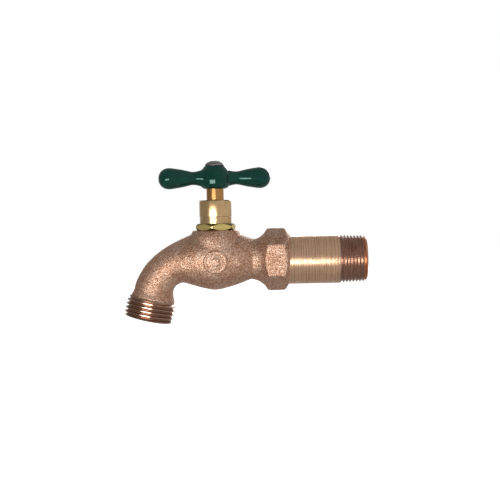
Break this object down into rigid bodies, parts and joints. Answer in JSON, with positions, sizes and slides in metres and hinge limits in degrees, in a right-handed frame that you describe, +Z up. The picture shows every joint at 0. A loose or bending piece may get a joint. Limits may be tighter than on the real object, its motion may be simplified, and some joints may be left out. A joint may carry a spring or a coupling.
{
  "type": "hose bib",
  "caption": "Cast bronze garden tap: male pipe inlet, globe chamber, bent spout with a male hose thread, screw stem and a green tee handle.",
  "frame": {"origin": "centre of the inlet pipe thread's end face", "axes": "+X out along the inlet axis towards the wall, +Z up along the stem, the spout hangs at -X"},
  "size_m": [0.1337, 0.0326, 0.0896],
  "materials": {
    "cast_bronze": "sand cast, threads and shank turned",
    "yellow_brass": "turned",
    "nut_brass": "satin turned",
    "stem_bronze": "turned, stained",
    "green_enamel": "gloss enamel",
    "screw_steel": "domed, satin",
    "seat_rubber": "moulded",
    "graphite_cord": "braided packing",
    "red_fibre": "vulcanised fibre"
  },
  "bodies": {
    "valve": {"valve_body": "cast_bronze", "bonnet": "yellow_brass", "bonnet_gasket": "red_fibre", "packing_ring": "graphite_cord", "packing_gland": "nut_brass", "packing_nut": "nut_brass"},
    "washer_carrier": {"washer_holder": "yellow_brass", "seat_washer": "seat_rubber", "seat_washer_screw": "nut_brass"},
    "spindle": {"stem": "stem_bronze", "handle": "green_enamel", "handle_screw": "screw_steel"}
  },
  "joints": [
    {"name": "stem_lift", "type": "slide", "parent": "valve", "child": "washer_carrier", "axis": [0, 0, 1], "range_m": [0, 0.00635]},
    {"name": "stem_turn", "type": "hinge", "parent": "washer_carrier", "child": "spindle", "pos_m": [-0.083, 0, 0], "axis": [0, 0, 1], "range_deg": [0, 720]}
  ],
  "couplings": [
    {"joint": "stem_lift", "follows": "stem_turn", "m_per_rad": 0.00050532}
  ]
}
